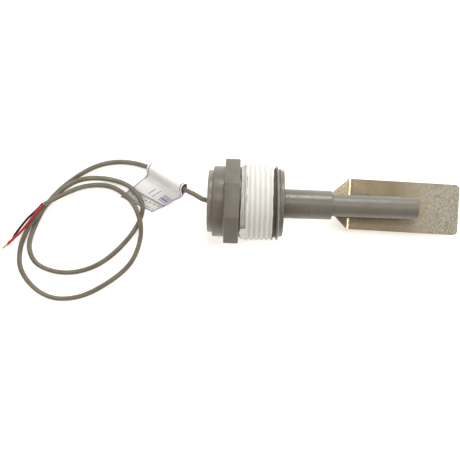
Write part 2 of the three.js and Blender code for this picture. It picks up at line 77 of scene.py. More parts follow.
# The plug's axis, and the head's thread-side face, from which distances along it are counted.
FACE_X = MOUNTS["head_seat"][0]
AXIS_Z = (PLUG_LOW[2] + PLUG_HIGH[2]) / 2
ACROSS_FLATS = PLUG_HIGH[2] - PLUG_LOW[2]
HUB_BACK = PLUG_LOW[0] - FACE_X
THREAD_END = PLUG_HIGH[0] - FACE_X
HEAD_THICKNESS = 6.4
HEAD_EDGE = 0.45
HUB_RADIUS = 15.5
THREAD_BORE = 15.0
CAVITY_RADIUS = 12.2
RECESS_FLOOR = 5.2
POTTING_FRONT = 0.6
CAP_SPIGOT = 2.6
SPIGOT_RADIUS = 11.9
CAP_WELL_RADIUS = 8.8
STEM_BORE = 8.6
STEM_SLEEVE_RADIUS = 6.45
REED_TUBE_RADIUS = 4.85
REED_TUBE_BORE = 3.4
THREAD_PITCH = 25.4 / 11.5
THREAD_DEPTH = 1.6
FIRST_CREST = 2.5
END_CREST_RADIUS = 16.25
THREAD_START = 1.7
THREAD_RUNOUT = 17.8
THREAD_FADE = 0.6
LEAD_IN_RADIUS = 14.67

ROUND_STEPS = 160
SHARP_ANGLE = math.radians(32)

# ---------------------------------------------------------------------------------------------
# Camera: straight down over the head, turned a little so that the plug's axis falls to the right.

CAMERA_OVER = (FACE_X + 2.0, -12.3, 370.5)
CAMERA_TURN = math.radians(2.1)
SENSOR = 36.0
FOCAL = 62.6
CAMERA_SHIFT = (-0.028, 0.0)


def add_camera():
    data = bpy.data.cameras.new("camera")
    data.sensor_width = SENSOR
    data.lens = FOCAL
    data.shift_x, data.shift_y = CAMERA_SHIFT
    data.clip_start = 0.01
    camera = bpy.data.objects.new("camera", data)
    camera.location = Vector(CAMERA_OVER) * MM
    camera.rotation_euler = (0, 0, CAMERA_TURN)
    bpy.context.scene.collection.objects.link(camera)
    bpy.context.scene.camera = camera


# ---------------------------------------------------------------------------------------------
# Curves


STEPS_PER_SPAN = 24


def between(a, b, t, start, end):
    return ((end - t) * a + (t - start) * b) / (end - start)


def smooth_path(points, spacing):
    """A centripetal Catmull-Rom curve through the points, as points the given distance apart."""
    p = np.array(points, float)
    p = np.vstack([2 * p[0] - p[1], p, 2 * p[-1] - p[-2]])
    dense = []
    for k in range(1, len(p) - 2):
        near = p[k - 1:k + 3]
        gaps = np.sqrt(np.linalg.norm(np.diff(near, axis=0), axis=1))
        knots = np.concatenate([[0], np.cumsum(gaps)])
        t = np.linspace(knots[1], knots[2], STEPS_PER_SPAN, endpoint=False)[:, None]
        first = [between(near[i], near[i + 1], t, knots[i], knots[i + 1]) for i in range(3)]
        second = [between(first[i], first[i + 1], t, knots[i], knots[i + 2]) for i in range(2)]
        dense.append(between(second[0], second[1], t, knots[1], knots[2]))
    dense = np.vstack(dense + [p[-2][None]])
    return spaced(dense, spacing)


def reach_along(points):
    """The distance of each point from the first, along the points."""
    return np.concatenate([[0], np.cumsum(np.linalg.norm(np.diff(points, axis=0), axis=1))])


def at_reach(points, at):
    reach = reach_along(points)
    return np.stack([np.interp(at, reach, points[:, i]) for i in range(3)], axis=-1)


def spaced(points, spacing):
    steps = max(2, int(round(length_of(points) / spacing)))
    return resampled(points, steps + 1)


def resampled(points, count):
    return at_reach(points, np.linspace(0, length_of(points), count))


def length_of(points):
    return float(reach_along(points)[-1])


def carried_frames(path):
    """Tangent, side and up at each point, carried along the path without twist."""
    tangent = np.gradient(path, axis=0)
    tangent /= np.linalg.norm(tangent, axis=1)[:, None]
    side = np.cross(tangent[0], (0, 0, 1))
    side /= np.linalg.norm(side)
    sides = []
    for t in tangent:
        side = side - t * side.dot(t)
        side /= np.linalg.norm(side)
        sides.append(side)
    sides = np.array(sides)
    return tangent, sides, np.cross(sides, tangent)


# ---------------------------------------------------------------------------------------------
# Meshes


def make_object(name, vertices, faces, material, smooth=True):
    mesh = bpy.data.meshes.new(name)
    mesh.from_pydata((np.asarray(vertices, float) * MM).tolist(), [], faces)
    mesh.update()
    mesh.polygons.foreach_set("use_smooth", [smooth] * len(mesh.polygons))
    if smooth:
        mesh.set_sharp_from_angle(angle=SHARP_ANGLE)
    mesh.materials.append(material)
    piece = bpy.data.objects.new(name, mesh)
    bpy.context.scene.collection.objects.link(piece)
    return piece


def grid_faces(rows, columns, wrap_columns=False, wrap_rows=False, start=0):
    faces = []
    for r in range(rows if wrap_rows else rows - 1):
        for c in range(columns if wrap_columns else columns - 1):
            below, right = (r + 1) % rows, (c + 1) % columns
            corners = (r * columns + c, r * columns + right, below * columns + right, below * columns + c)
            faces.append(tuple(start + i for i in corners))
    return faces


def swept_tube(name, path, section, material, twist_per_mm=0.0, taper_ends=0.0):
    """A closed tube round the path. section gives (side, up) for an angle array, in mm."""
    _, side, up = carried_frames(path)
    reach = reach_along(path)
    rows = []
    for i, centre in enumerate(path):
        across, lift = section(reach[i])
        turn = twist_per_mm * reach[i]
        c, s = math.cos(turn), math.sin(turn)
        a, b = c * across - s * lift, s * across + c * lift
        rows.append(centre + a[:, None] * side[i] + b[:, None] * up[i])
    count = len(rows[0])
    if taper_ends:
        rows.insert(0, path[0] + (rows[0] - path[0]) * taper_ends)
        rows.append(path[-1] + (rows[-1] - path[-1]) * taper_ends)
    vertices = np.vstack(rows + [path[0][None], path[-1][None]])
    faces = grid_faces(len(rows), count, wrap_columns=True)
    first, last = len(vertices) - 2, len(vertices) - 1
    end = (len(rows) - 1) * count
    faces += [(first, (c + 1) % count, c) for c in range(count)]
    faces += [(last, end + c, end + (c + 1) % count) for c in range(count)]
    piece = make_object(name, vertices, faces, material)
    face_outwards(piece)
    return piece


def grid_normal(middle):
    normal = np.cross(np.gradient(middle, axis=1), np.gradient(middle, axis=0))
    return normal / np.linalg.norm(normal, axis=2)[:, :, None]


def closed_sheet(name, middle, normal, thickness, material):
    """A thin closed sheet about a grid of points: two skins and the rim between them."""
    rows, columns = middle.shape[:2]
    count = rows * columns
    half = normal * thickness / 2
    vertices = np.vstack([(middle + half).reshape(-1, 3), (middle - half).reshape(-1, 3)])
    skin = grid_faces(rows, columns)
    faces = skin + [tuple(count + i for i in reversed(face)) for face in skin]
    rim = [r * columns for r in range(rows - 1)]
    rim += [(rows - 1) * columns + c for c in range(columns - 1)]
    rim += [r * columns + columns - 1 for r in range(rows - 1, 0, -1)]
    rim += list(range(columns - 1, 0, -1))
    faces += [(a, b, count + b, count + a) for a, b in zip(rim, rim[1:] + rim[:1])]
    return make_object(name, vertices, faces, material)


def face_outwards(piece):
    work = bmesh.new()
    work.from_mesh(piece.data)
    bmesh.ops.remove_doubles(work, verts=work.verts, dist=1e-8)
    bmesh.ops.recalc_face_normals(work, faces=work.faces)
    work.to_mesh(piece.data)
    work.free()
    piece.data.set_sharp_from_angle(angle=SHARP_ANGLE)


def rounded(outline, steps=4):
    """(along, radius, rounding) corners as (along, radius) points with the corners rounded."""
    points = []
    for i, (x, r, size) in enumerate(outline):
        here = np.array((x, r), float)
        if size == 0 or i in (0, len(outline) - 1):
            points.append(here)
            continue
        before = np.array(outline[i - 1][:2], float) - here
        after = np.array(outline[i + 1][:2], float) - here
        start = here + before * min(size / np.linalg.norm(before), 0.49)
        end = here + after * min(size / np.linalg.norm(after), 0.49)
        for t in np.linspace(0, 1, steps + 1):
            points.append((1 - t) ** 2 * start + 2 * t * (1 - t) * here + t * t * end)
    return points


def turned(name, outline, material, axis=None, steps=ROUND_STEPS, closed=False, wobble=None):
    """A solid of revolution about a line along X through the point axis (y, z)."""
    y0, z0 = axis if axis is not None else (0.0, AXIS_Z)
    points = np.array(rounded(outline), float)
    angle = np.linspace(0, 2 * math.pi, steps, endpoint=False)
    along = np.repeat(points[:, 0][:, None], steps, axis=1)
    radius = np.repeat(points[:, 1][:, None], steps, axis=1)
    if wobble is not None:
        radius = radius + wobble(along, radius, angle[None, :])
    vertices = np.stack([
        FACE_X + along, y0 + radius * np.cos(angle), z0 + radius * np.sin(angle),
    ], axis=2).reshape(-1, 3)
    faces = grid_faces(len(points), steps, wrap_columns=True, wrap_rows=closed)
    piece = make_object(name, vertices, faces, material)
    face_outwards(piece)
    return piece


def fit(piece, body, slot, *nodes):
    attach(piece, body)
    if nodes:
        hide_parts(*nodes)
    return piece


# ---------------------------------------------------------------------------------------------
# Materials


class Paint:
    """A material being built: a Principled shader and the nodes that feed it."""

    def __init__(self, name, roughness=0.5, metallic=0.0, **constants):
        self.material = bpy.data.materials.new(name)
        self.material.use_nodes = True
        self.nodes = self.material.node_tree.nodes
        self.links = self.material.node_tree.links
        self.shader = self.nodes["Principled BSDF"]
        self.shader.inputs["Roughness"].default_value = roughness
        self.shader.inputs["Metallic"].default_value = metallic
        for socket, value in constants.items():
            self.shader.inputs[socket.replace("_", " ")].default_value = value
        self.place = self.nodes.new("ShaderNodeTexCoord").outputs["Object"]

    def put(self, value, socket):
        if isinstance(value, bpy.types.NodeSocket):
            self.links.new(value, socket)
        else:
            socket.default_value = value

    def scaled(self, size, source=None):
        node = self.nodes.new("ShaderNodeMapping")
        self.put(source or self.place, node.inputs["Vector"])
        node.inputs["Scale"].default_value = [1 / (s * MM) for s in size]
        return node.outputs["Vector"]

    def noise(self, size, detail=3.0, rough=0.55, source=None):
        """Noise from about 0 to 1 with features of the given size in mm along X, Y and Z."""
        size = size if isinstance(size, tuple) else (size,) * 3
        node = self.nodes.new("ShaderNodeTexNoise")
        self.put(self.scaled(size, source), node.inputs["Vector"])
        node.inputs["Scale"].default_value = 1.0
        node.inputs["Detail"].default_value = detail
        node.inputs["Roughness"].default_value = rough
        return node.outputs["Fac"]

    def math(self, operation, a, b=0.0, c=0.0):
        node = self.nodes.new("ShaderNodeMath")
        node.operation = operation
        for value, socket in zip((a, b, c), node.inputs):
            self.put(value, socket)
        return node.outputs[0]

    def spread(self, value, low, high, to_low=0.0, to_high=1.0):
        node = self.nodes.new("ShaderNodeMapRange")
        for socket, given in zip(node.inputs, (value, low, high, to_low, to_high)):
            self.put(given, socket)
        return node.outputs[0]

    def mix(self, amount, a, b, blend="MIX"):
        node = self.nodes.new("ShaderNodeMix")
        node.data_type = "RGBA"
        node.blend_type = blend
        self.put(amount, node.inputs[0])
        for value, socket in ((a, node.inputs[6]), (b, node.inputs[7])):
            self.put((*value, 1) if isinstance(value, tuple) and len(value) == 3 else value, socket)
        return node.outputs[2]

    def split(self, vector):
        node = self.nodes.new("ShaderNodeSeparateXYZ")
        self.put(vector, node.inputs[0])
        return node.outputs

    def colour(self, value):
        self.put(value, self.shader.inputs["Base Color"])
        return self

    def rough(self, value):
        self.put(value, self.shader.inputs["Roughness"])
        return self

    def bump(self, height, depth_mm, strength=1.0):
        node = self.nodes.new("ShaderNodeBump")
        node.inputs["Strength"].default_value = strength
        node.inputs["Distance"].default_value = depth_mm * MM
        self.put(height, node.inputs["Height"])
        before = self.shader.inputs["Normal"]
        if before.is_linked:
            self.links.new(before.links[0].from_socket, node.inputs["Normal"])
        self.links.new(node.outputs["Normal"], before)
        return self


def moulded_plastic(name, light, dark, roughness=0.34, streak=0.35):
    """Grey moulded plastic: soft blotches, turning marks round the axis and fine speckle."""
    paint = Paint(name, roughness, Specular_IOR_Level=0.68)
    blotch = paint.spread(paint.noise(7.0, 4), 0.35, 0.65)
    base = paint.mix(blotch, dark, light)
    marks = paint.noise((0.35, 14.0, 14.0), 2)
    base = paint.mix(paint.math("MULTIPLY", marks, streak), base, tuple(0.72 * c for c in dark))
    speckle = paint.spread(paint.noise(0.22, 2), 0.62, 0.75)
    pale = tuple(min(1.0, 1.35 * c) for c in light)
    base = paint.mix(paint.math("MULTIPLY", speckle, 0.35), base, pale)
    paint.colour(base)
    paint.rough(paint.spread(paint.noise(1.4, 3), 0.3, 0.7, roughness - 0.08, roughness + 0.12))
    paint.bump(paint.noise(0.18, 3), 0.03)
    paint.bump(marks, 0.02)
    return paint.material


def leaf_steel(name):
    """Rolled spring steel: long faint grain, warm stains, and a pitted mottle towards the free end."""
    paint = Paint(name, 0.36, 1.0)
    grain = paint.noise((9.0, 0.16, 3.0), 4)
    stain = paint.spread(paint.noise((6.0, 4.0, 4.0), 4), 0.3, 0.7)
    mottle = paint.spread(paint.noise((0.6, 1.1, 1.1), 4, 0.6), 0.36, 0.64)
    fine = paint.spread(paint.noise(0.28, 3), 0.3, 0.7)
    x, _, _ = paint.split(paint.place)
    worn = paint.spread(x, (LEAF_HIGH[0] - 30) * MM, (LEAF_HIGH[0] - 10) * MM)
    base = paint.mix(stain, (0.30, 0.235, 0.145), (0.37, 0.295, 0.195))
    base = paint.mix(paint.math("MULTIPLY", grain, 0.35), base, (0.41, 0.345, 0.25))
    spots = paint.mix(mottle, (0.165, 0.148, 0.113), (0.345, 0.335, 0.29))
    base = paint.mix(paint.math("MULTIPLY", worn, 0.75), base, spots)
    paint.colour(base)
    paint.rough(paint.math("ADD", paint.spread(fine, 0, 1, 0.22, 0.30), paint.math("MULTIPLY", worn, 0.14)))
    paint.bump(grain, 0.012)
    paint.bump(paint.math("MULTIPLY", mottle, worn), 0.03)
    return paint.material


def worn_metal(name, colour, roughness):
    """Small metal parts: drawn grain and darker spots."""
    paint = Paint(name, roughness, 1.0)
    grain = paint.noise((2.5, 0.12, 0.12), 3)
    spots = paint.spread(paint.noise(0.6, 3), 0.55, 0.75)
    pale = tuple(min(1.0, 1.2 * c) for c in colour)
    base = paint.mix(paint.math("MULTIPLY", grain, 0.4), colour, pale)
    paint.colour(paint.mix(paint.math("MULTIPLY", spots, 0.5), base, tuple(0.55 * c for c in colour)))
    paint.rough(paint.spread(grain, 0.3, 0.7, roughness - 0.08, roughness + 0.1))
    paint.bump(grain, 0.01)
    return paint.material


def soft_insulation(name, colour, roughness=0.4):
    """Extruded wire covering: faint draw lines, scuffs and small colour drift."""
    paint = Paint(name, roughness, Specular_IOR_Level=0.45)
    drift = paint.spread(paint.noise(3.0, 3), 0.3, 0.7)
    scuff = paint.spread(paint.noise(0.5, 4), 0.6, 0.8)
    base = paint.mix(drift, tuple(0.82 * c for c in colour), colour)
    pale = tuple(min(1.0, 0.12 + 1.1 * c) for c in colour)
    paint.colour(paint.mix(paint.math("MULTIPLY", scuff, 0.3), base, pale))
    paint.rough(paint.spread(drift, 0, 1, roughness, roughness + 0.14))
    paint.bump(paint.noise(0.3, 3), 0.02)
    return paint.material


def jacket_skin(name):
    """Thin cable jacket: brown-grey with slow colour drift and dust."""
    paint = Paint(name, 0.42, Specular_IOR_Level=0.5)
    drift = paint.spread(paint.noise(5.0, 4), 0.3, 0.7)
    fine = paint.noise(0.35, 3)
    base = paint.mix(drift, (0.140, 0.114, 0.083), (0.190, 0.162, 0.124))
    dust = paint.spread(paint.noise(0.8, 4), 0.58, 0.8)
    base = paint.mix(paint.math("MULTIPLY", dust, 0.35), base, (0.26, 0.23, 0.19))
    paint.colour(base)
    paint.rough(paint.spread(fine, 0.3, 0.7, 0.36, 0.52))
    paint.bump(fine, 0.03)
    return paint.material


def tape_film(name, cover, tone=1.0):
    """Thread tape: white film with fibres along the winding, and the plug showing where it is thin."""
    paint = Paint(name, 0.5, Specular_IOR_Level=0.35)
    fibres = paint.noise((0.16, 6.0, 6.0), 4)
    wrinkle = paint.noise((0.9, 3.2, 3.2), 4)
    thin = paint.spread(wrinkle, 0.52, 0.7, 0.0, 1.0 - cover)
    film = tuple(tone * c for c in (0.705, 0.695, 0.665))
    shade = tuple(tone * c for c in (0.63, 0.60, 0.555))
    base = paint.mix(paint.math("MULTIPLY", fibres, 0.35), film, shade)
    paint.colour(paint.mix(thin, base, tuple(tone * c for c in (0.50, 0.46, 0.40))))
    paint.rough(paint.spread(fibres, 0.3, 0.7, 0.4, 0.62))
    paint.bump(fibres, 0.05)
    paint.bump(wrinkle, 0.08)
    return paint.material


PVC = moulded_plastic("plug_plastic", (0.158, 0.136, 0.108), (0.131, 0.111, 0.087))
# The rear cap is the plug's grey plastic painted about half again lighter, standing in for light the head keeps
# off the cap: painted light.
CAP_PVC_PAINTED_LIGHT = moulded_plastic("cap_plastic", (0.236, 0.203, 0.165), (0.199, 0.170, 0.137), 0.34, 0.45)
TUBE_PVC = moulded_plastic("tube_plastic", (0.165, 0.147, 0.119), (0.138, 0.121, 0.096), 0.40, 0.3)
LEAF = leaf_steel("leaf_steel")
BRIGHT = worn_metal("bright_metal", (0.62, 0.60, 0.55), 0.32)
MAGNET = worn_metal("magnet_nickel", (0.30, 0.30, 0.32), 0.38)
COPPER = worn_metal("bare_copper", (0.72, 0.38, 0.22), 0.3)
JACKET = jacket_skin("cable_jacket_skin")
RED = soft_insulation("red_covering", (0.52, 0.014, 0.022))
BLACK = soft_insulation("black_covering", (0.016, 0.013, 0.012))
SLEEVE = soft_insulation("shrink_sleeve", (0.022, 0.022, 0.024), 0.6)
TAPE = tape_film("tape_film", 0.9)
THIN_TAPE = tape_film("thin_tape_film", 0.25, 0.82)
SHRED = tape_film("shred_film", 0.1, 0.42)

# ---------------------------------------------------------------------------------------------
# Cord: the cable's route and its wires, the same points as the CAD solids.

CABLE_ROUTE = [
    [-50.2, 0, 18.25], [-54.5, 0, 18.2], [-58.5, 0.5, 17.2], [-63, 2.8, 14.2], [-68, 5.2, 10],
    [-77, 10.3, 4.5], [-87, 15.5, 2], [-98.5, 17, 1.2], [-109, 14.8, 1.2], [-120.5, 7.8, 1.2],
    [-130, -1.5, 1.2], [-136, -12, 1.2], [-139, -23.5, 1.2], [-136, -30.5, 1.2], [-128, -34.3, 1.2],
    [-117, -34.4, 1.2], [-106, -30, 1.2], [-95, -20, 1.2], [-88.5, -9.5, 1.3], [-87.5, -2, 1.9],
    [-93, 5.3, 2.1], [-103, 8.8, 1.9], [-114, 8.5, 3.1], [-122, 4.8, 3.9], [-134, -7.7, 4],
    [-139, -14, 2.5], [-143, -24, 1.35], [-142.5, -34, 1.2], [-136, -42.5, 1.2], [-126.5, -46.8, 1.2],
    [-114.5, -45.5, 1.2], [-100, -37.3, 1.2], [-91.5, -28.5, 1.35], [-88, -18.5, 1.4], [-88, -10, 3.9],
    [-92.5, -1, 2.6], [-102, 5.3, 1.7], [-113.5, 5.3, 1.7], [-122.5, 1.2, 5.3], [-131.5, -3.8, 6.4],
]
RED_ROUTE = [
    [-131.9, -4.2, 6.6], [-134.5, -6.9, 6.1], [-137.5, -10.6, 5.1], [-140.4, -14.2, 3.8],
    [-144, -18, 2.4], [-148.7, -22.3, 1.8],
]
BLACK_ROUTE = [
    [-132.3, -3.5, 5.8], [-135.2, -6.6, 5.1], [-139.5, -10.5, 3.6], [-142.9, -14.4, 2.1],
    [-145.9, -18.3, 0.8], [-147.3, -21.2, 0.6],
]
RED_STRANDS_ROUTE = [[-148.9, -22.5, 1.8], [-150.2, -23.8, 1.3], [-151.5, -25, 0.6]]
BLACK_STRANDS_ROUTE = [[-147.5, -21.5, 0.6], [-148.5, -22.6, 0.5], [-149.7, -23.7, 0.4]]

CABLE_HALF_WIDTHS = (1.15, 1.07)
CABLE_TWIST = 2 * math.pi / 110
FURROWS = 5
FURROW_DEPTH = 0.11
WIRE_RADIUS = 0.55
STRAND_RADIUS = 0.1
STRAND_COUNT = 7


def cable_section(sides):
    """The jacket drawn tight over its core: nearly round, with shallow furrows along it."""
    angle = np.linspace(0, 2 * math.pi, sides, endpoint=False)
    wide, high = CABLE_HALF_WIDTHS
    furrow = 1 - FURROW_DEPTH * (0.5 + 0.5 * np.cos(FURROWS * angle)) ** 3
    return lambda reach: (wide * np.cos(angle) * furrow, high * np.sin(angle) * furrow)


def round_section(radius, sides, swell=0.0):
    angle = np.linspace(0, 2 * math.pi, sides, endpoint=False)

    def section(reach):
        r = radius * (1 + swell * math.sin(reach * 2.1))
        return r * np.cos(angle), r * np.sin(angle)

    return section


def strand_bundle(name, route, count, radius, spread):
    """Stripped copper: thin strands laid round each other, opening a little towards the tip."""
    path = smooth_path(route, 0.12)
    _, side, up = carried_frames(path)
    share = np.linspace(0, 1, len(path))[:, None]
    vertices, faces = [], []
    sides = 6
    angle = np.linspace(0, 2 * math.pi, sides, endpoint=False)
    for k in range(count):
        turn = 2 * math.pi * k / max(1, count - 1) + share * 5.0
        ring_radius = 0.0 if k == count - 1 else radius * 2.1
        out = ring_radius * (1 + spread * share ** 2 * (1 + 0.5 * math.sin(3.1 * k)))
        cut = int(len(path) * (1 - 0.05 * ((k * 37) % 5) / 2))
        line = (path + out * (np.cos(turn) * side + np.sin(turn) * up))[:cut]
        start = sum(len(v) for v in vertices)
        ring = (
            line[:, None, :]
            + radius * np.cos(angle)[None, :, None] * side[:cut, None, :]
            + radius * np.sin(angle)[None, :, None] * up[:cut, None, :]
        )
        vertices.append(ring.reshape(-1, 3))
        faces += grid_faces(cut, sides, wrap_columns=True, start=start)
        last = start + (cut - 1) * sides
        faces += [tuple(start + i for i in reversed(range(sides))), tuple(last + i for i in range(sides))]
    piece = make_object(name, np.vstack(vertices), faces, COPPER)
    return piece


def add_cord():
    path = smooth_path(CABLE_ROUTE, 0.7)
    jacket = swept_tube("cable_jacket_visual", path, cable_section(40), JACKET, CABLE_TWIST, 0.86)
    fit(jacket, "switch_body", "cable_jacket", "cable_jacket")
    covering = round_section(WIRE_RADIUS, 16, 0.02)
    red = swept_tube("red_wire_visual", smooth_path(RED_ROUTE, 0.35), covering, RED, 0, 0.8)
    fit(red, "switch_body", "red_insulation", "red_wire")
    black = swept_tube("black_wire_visual", smooth_path(BLACK_ROUTE, 0.35), covering, BLACK, 0, 0.8)
    fit(black, "switch_body", "black_insulation", "black_wire")
    red_copper = strand_bundle(
        "red_wire_strands_visual", RED_STRANDS_ROUTE, STRAND_COUNT, STRAND_RADIUS, 0.5,
    )
    fit(red_copper, "switch_body", "copper", "red_wire_strands")
    black_copper = strand_bundle(
        "black_wire_strands_visual", BLACK_STRANDS_ROUTE, STRAND_COUNT, STRAND_RADIUS, 0.4,
    )
    fit(black_copper, "switch_body", "copper", "black_wire_strands")
    label = add_label(path)


# ---------------------------------------------------------------------------------------------
# Flag label

LABEL_START = 21.2
LABEL_WIDTH = 21.6
LABEL_THICKNESS = 0.12
LABEL_FAR = np.array((-98.1, 0.9, 0.15))
LABEL_NEAR = np.array((-82.9, -5.8, 0.15))
LABEL_STRIP_LENGTH = 45.0
UPPER_SHEET_SHARE = 0.62
SHEET_SPACING = 0.35
FLAT_FROM_SHARE = 0.6
LABEL_VALLEY = 3.4
LABEL_LOOP = [[1.6, -1.73], [0, -1.75], [-1.9, -1], [-2.5, 0.5], [-1.4, 1.9], [0.5, 1.9], [1.9, 0.5]]


def smoothstep(x, low, high):
    t = np.clip((x - low) / (high - low), 0, 1)
    return t * t * (3 - 2 * t)


def label_strip(centre, cable_way, end):
    """One section of the label: in along the surface, square round the cable, back over itself."""
    across = np.array((cable_way[1], -cable_way[0], 0.0))
    across *= math.copysign(1 / np.linalg.norm(across), across.dot(end - centre))
    up = np.cross(across, cable_way)
    up *= math.copysign(1, up[2])
    valley = centre + LABEL_VALLEY * across + LABEL_LOOP[1][1] * up

    def lower(share):
        fall = smoothstep(share, 0, FLAT_FROM_SHARE)
        point = valley + share * (end - valley)
        return np.array((point[0], point[1], valley[2] + fall * (end[2] - valley[2])))

    lift = np.array((0, 0, SHEET_SPACING))
    points = [lower(share) for share in (1, 0.75, 0.5, 0.25, 0)]
    points += [centre + out * across + rise * up for out, rise in LABEL_LOOP]
    return points + [lower(share) + lift for share in (0, UPPER_SHEET_SHARE / 2, UPPER_SHEET_SHARE)]


def add_label(path):
    reach = reach_along(path)
    tangent = carried_frames(path)[0]
    across_steps, along_steps = 36, 150
    rows = []
    for share in np.linspace(0, 1, across_steps + 1):
        at = LABEL_START + share * LABEL_WIDTH
        centre = np.array([np.interp(at, reach, path[:, i]) for i in range(3)])
        way = np.array([np.interp(at, reach, tangent[:, i]) for i in range(3)])
        strip = label_strip(centre, way / np.linalg.norm(way), LABEL_NEAR + (LABEL_FAR - LABEL_NEAR) * share)
        rows.append(resampled(smooth_path(strip, 0.2), along_steps + 1))
    middle = np.array(rows)
    width = along_steps + 1
    count = middle.shape[0] * width
    label = closed_sheet("cable_label_visual", middle, grid_normal(middle), LABEL_THICKNESS, LABEL_MATERIAL)
    u = np.tile(np.linspace(0, 1, width), (across_steps + 1, 1)).reshape(-1)
    v = np.repeat(np.linspace(0, 1, across_steps + 1), width)
    layer = label.data.uv_layers.new(name="sheet")
    for loop in label.data.loops:
        k = loop.vertex_index % count
        layer.data[loop.index].uv = (u[k] * LABEL_STRIP_LENGTH, v[k] * LABEL_WIDTH)
    face_outwards(label)
    return fit(label, "switch_body", "label_film", "cable_label")


def printed_film():
    """White film printed in violet: border lines, plain bars and dashes. UV is in mm, to about a tenth."""
    paint = Paint("label_film", 0.4, Specular_IOR_Level=0.5)
    along, across, _ = paint.split(paint.nodes.new("ShaderNodeTexCoord").outputs["UV"])

    def band(value, low, high):
        above = paint.math("GREATER_THAN", value, low)
        return paint.math("MULTIPLY", above, paint.math("LESS_THAN", value, high))

    def block(along_span, across_span):
        return paint.math("MULTIPLY", band(along, *along_span), band(across, *across_span))

    def dashes(period, offset):
        phase = paint.math("FRACT", paint.math("MULTIPLY_ADD", across, 1 / period, offset))
        return paint.math("LESS_THAN", phase, 0.55)

    far, end = LABEL_WIDTH, LABEL_STRIP_LENGTH
    printed = band(across, 0.75, 1.25)
    more = [
        band(across, far - 1.25, far - 0.75), band(along, 0.45, 0.9), band(along, end - 0.75, end - 0.2),
        block((end - 7.0, end - 2.4), (far * 0.565, far * 0.585)),
        block((end - 7.6, end - 4.4), (far * 0.44, far * 0.462)),
        block((end - 4.0, end - 2.0), (far * 0.44, far * 0.462)),
    ]
    for low, high in ((2.4, 2.9), (3.5, 4.6), (5.2, 5.7), (6.3, 6.8)):
        more.append(block((end - high, end - low), (far * 0.08, far * 0.3)))
    for low, high, period, offset in ((1.5, 2.1, 1.9, 0.1), (4.4, 5.0, 2.6, 0.45), (7.2, 7.7, 1.7, 0.8)):
        row = paint.math("MULTIPLY", band(along, low, high), band(across, 1.9, far - 1.9))
        more.append(paint.math("MULTIPLY", row, dashes(period, offset)))
    for extra in more:
        printed = paint.math("MAXIMUM", printed, extra)

    cloud = paint.spread(paint.noise(4.0, 3), 0.3, 0.7)
    lower_sheet = paint.spread(along, 9.0, 14.0, 1.0, 0.0)
    white = paint.mix(cloud, (0.80, 0.79, 0.76), (0.86, 0.852, 0.83))
    film = paint.mix(lower_sheet, white, (0.72, 0.70, 0.61))
    ink = paint.mix(cloud, (0.14, 0.105, 0.40), (0.20, 0.16, 0.47))
    paint.colour(paint.mix(paint.math("MULTIPLY", printed, 0.9), film, ink))
    paint.bump(paint.noise(2.5, 3), 0.06)
    return paint.material


LABEL_MATERIAL = printed_film()

# ---------------------------------------------------------------------------------------------
# Plug: octagonal head, hub, thread and lead-in


def octagon_section(half, corner, steps):
    """Points round an octagon with a flat underneath and rounded corners."""
    points = []
    tip = half / math.cos(math.pi / 8)
    for k in range(8):
        middle = math.pi / 8 + k * math.pi / 4
        centre = (tip - corner / math.cos(math.pi / 8)) * np.array((math.cos(middle), math.sin(middle)))
        for t in np.linspace(-math.pi / 8, math.pi / 8, steps):
            points.append(centre + corner * np.array((math.cos(middle + t), math.sin(middle + t))))
    return np.array(points)


def add_head():
    """The head is lofted through octagons: a rounded edge, the flats, a rounded edge, then the two faces."""
    half = ACROSS_FLATS / 2
    turns = np.linspace(0, math.pi / 2, 5)
    rows = [(-HEAD_THICKNESS, HUB_RADIUS - 1.5), (-HEAD_THICKNESS, half - HEAD_EDGE)]
    rows += [
        (-HEAD_THICKNESS + HEAD_EDGE * (1 - math.cos(t)), half - HEAD_EDGE * (1 - math.sin(t))) for t in turns
    ]
    rows += [(-HEAD_EDGE * (1 - math.sin(t)), half - HEAD_EDGE * (1 - math.cos(t))) for t in turns]
    rows.append((0.0, THREAD_BORE))
    loops = []
    for along, size in rows:
        section = octagon_section(size, 0.7, 6)
        place = np.full(len(section), FACE_X + along)
        loops.append(np.column_stack([place, section[:, 0], AXIS_Z + section[:, 1]]))
    count = len(loops[0])
    faces = grid_faces(len(loops), count, wrap_columns=True, wrap_rows=True)
    head = make_object("plug_head", np.vstack(loops), faces, PVC)
    face_outwards(head)
    fit(head, "switch_body", "plug_plastic", "plug_body")

    hub = turned("plug_hub", [
        (HUB_BACK + 1.5, CAVITY_RADIUS, 0), (HUB_BACK, CAVITY_RADIUS, 0), (HUB_BACK, HUB_RADIUS, 0.5),
        (-HEAD_THICKNESS - 0.35, HUB_RADIUS, 0.0),
        (-HEAD_THICKNESS + 0.4, HUB_RADIUS + 0.5, 0), (-HEAD_THICKNESS + 0.4, CAVITY_RADIUS, 0),
    ], PVC, closed=True)
    fit(hub, "switch_body", "plug_plastic", "plug_body")


def crest_line(along):
    return END_CREST_RADIUS + (THREAD_END - along) / 32


def thread_height(along, angle):
    """1 on the crest and 0 in the root of the right-hand thread."""
    turns = (along - FIRST_CREST) / THREAD_PITCH - angle / (2 * math.pi)
    from_crest = np.abs(turns - np.round(turns)) * 2
    form = np.clip((0.92 - from_crest) / 0.78, 0, 1)
    rise = smoothstep(along, THREAD_START - 0.4, THREAD_START + 0.9)
    return form * rise * (1 - smoothstep(along, THREAD_RUNOUT - THREAD_FADE, THREAD_RUNOUT))


